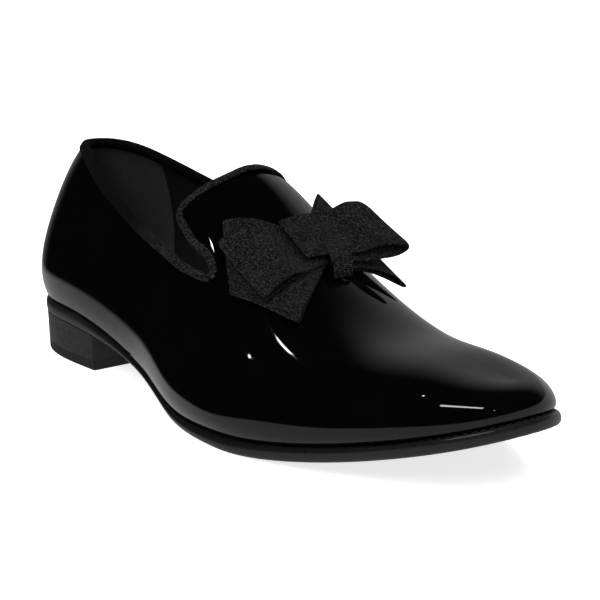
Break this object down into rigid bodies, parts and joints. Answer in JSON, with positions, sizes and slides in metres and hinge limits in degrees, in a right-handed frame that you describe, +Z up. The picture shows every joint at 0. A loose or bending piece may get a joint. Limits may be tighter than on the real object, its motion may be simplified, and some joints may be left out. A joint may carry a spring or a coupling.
{
  "type": "evening loafer",
  "caption": "Right-foot evening loafer in glossy black leather with a notched, ribbon-bound topline, a flat ribbon bow on the vamp, a thin sprung outsole and a low stacked heel",
  "frame": {"origin": "bottom centre of the bounding box, on the floor under the shoe", "axes": "+X from heel to toe along the shoe, +Y to the medial (inner) side, +Z up"},
  "size_m": [0.2968, 0.1018, 0.0915],
  "materials": {
    "patent_leather": "mirror gloss",
    "sole_leather": "satin",
    "heel_stack": "satin",
    "sock_leather": "matte",
    "grosgrain": "ribbed matte"
  },
  "bodies": {
    "root": {"outsole": "sole_leather", "heel": "heel_stack", "insole": "sock_leather", "upper": "patent_leather", "topline_binding": "grosgrain", "bow_lower_lateral": "grosgrain", "bow_lower_medial": "grosgrain", "bow_upper_lateral": "grosgrain", "bow_upper_medial": "grosgrain", "bow_band": "grosgrain"}
  },
  "joints": []
}
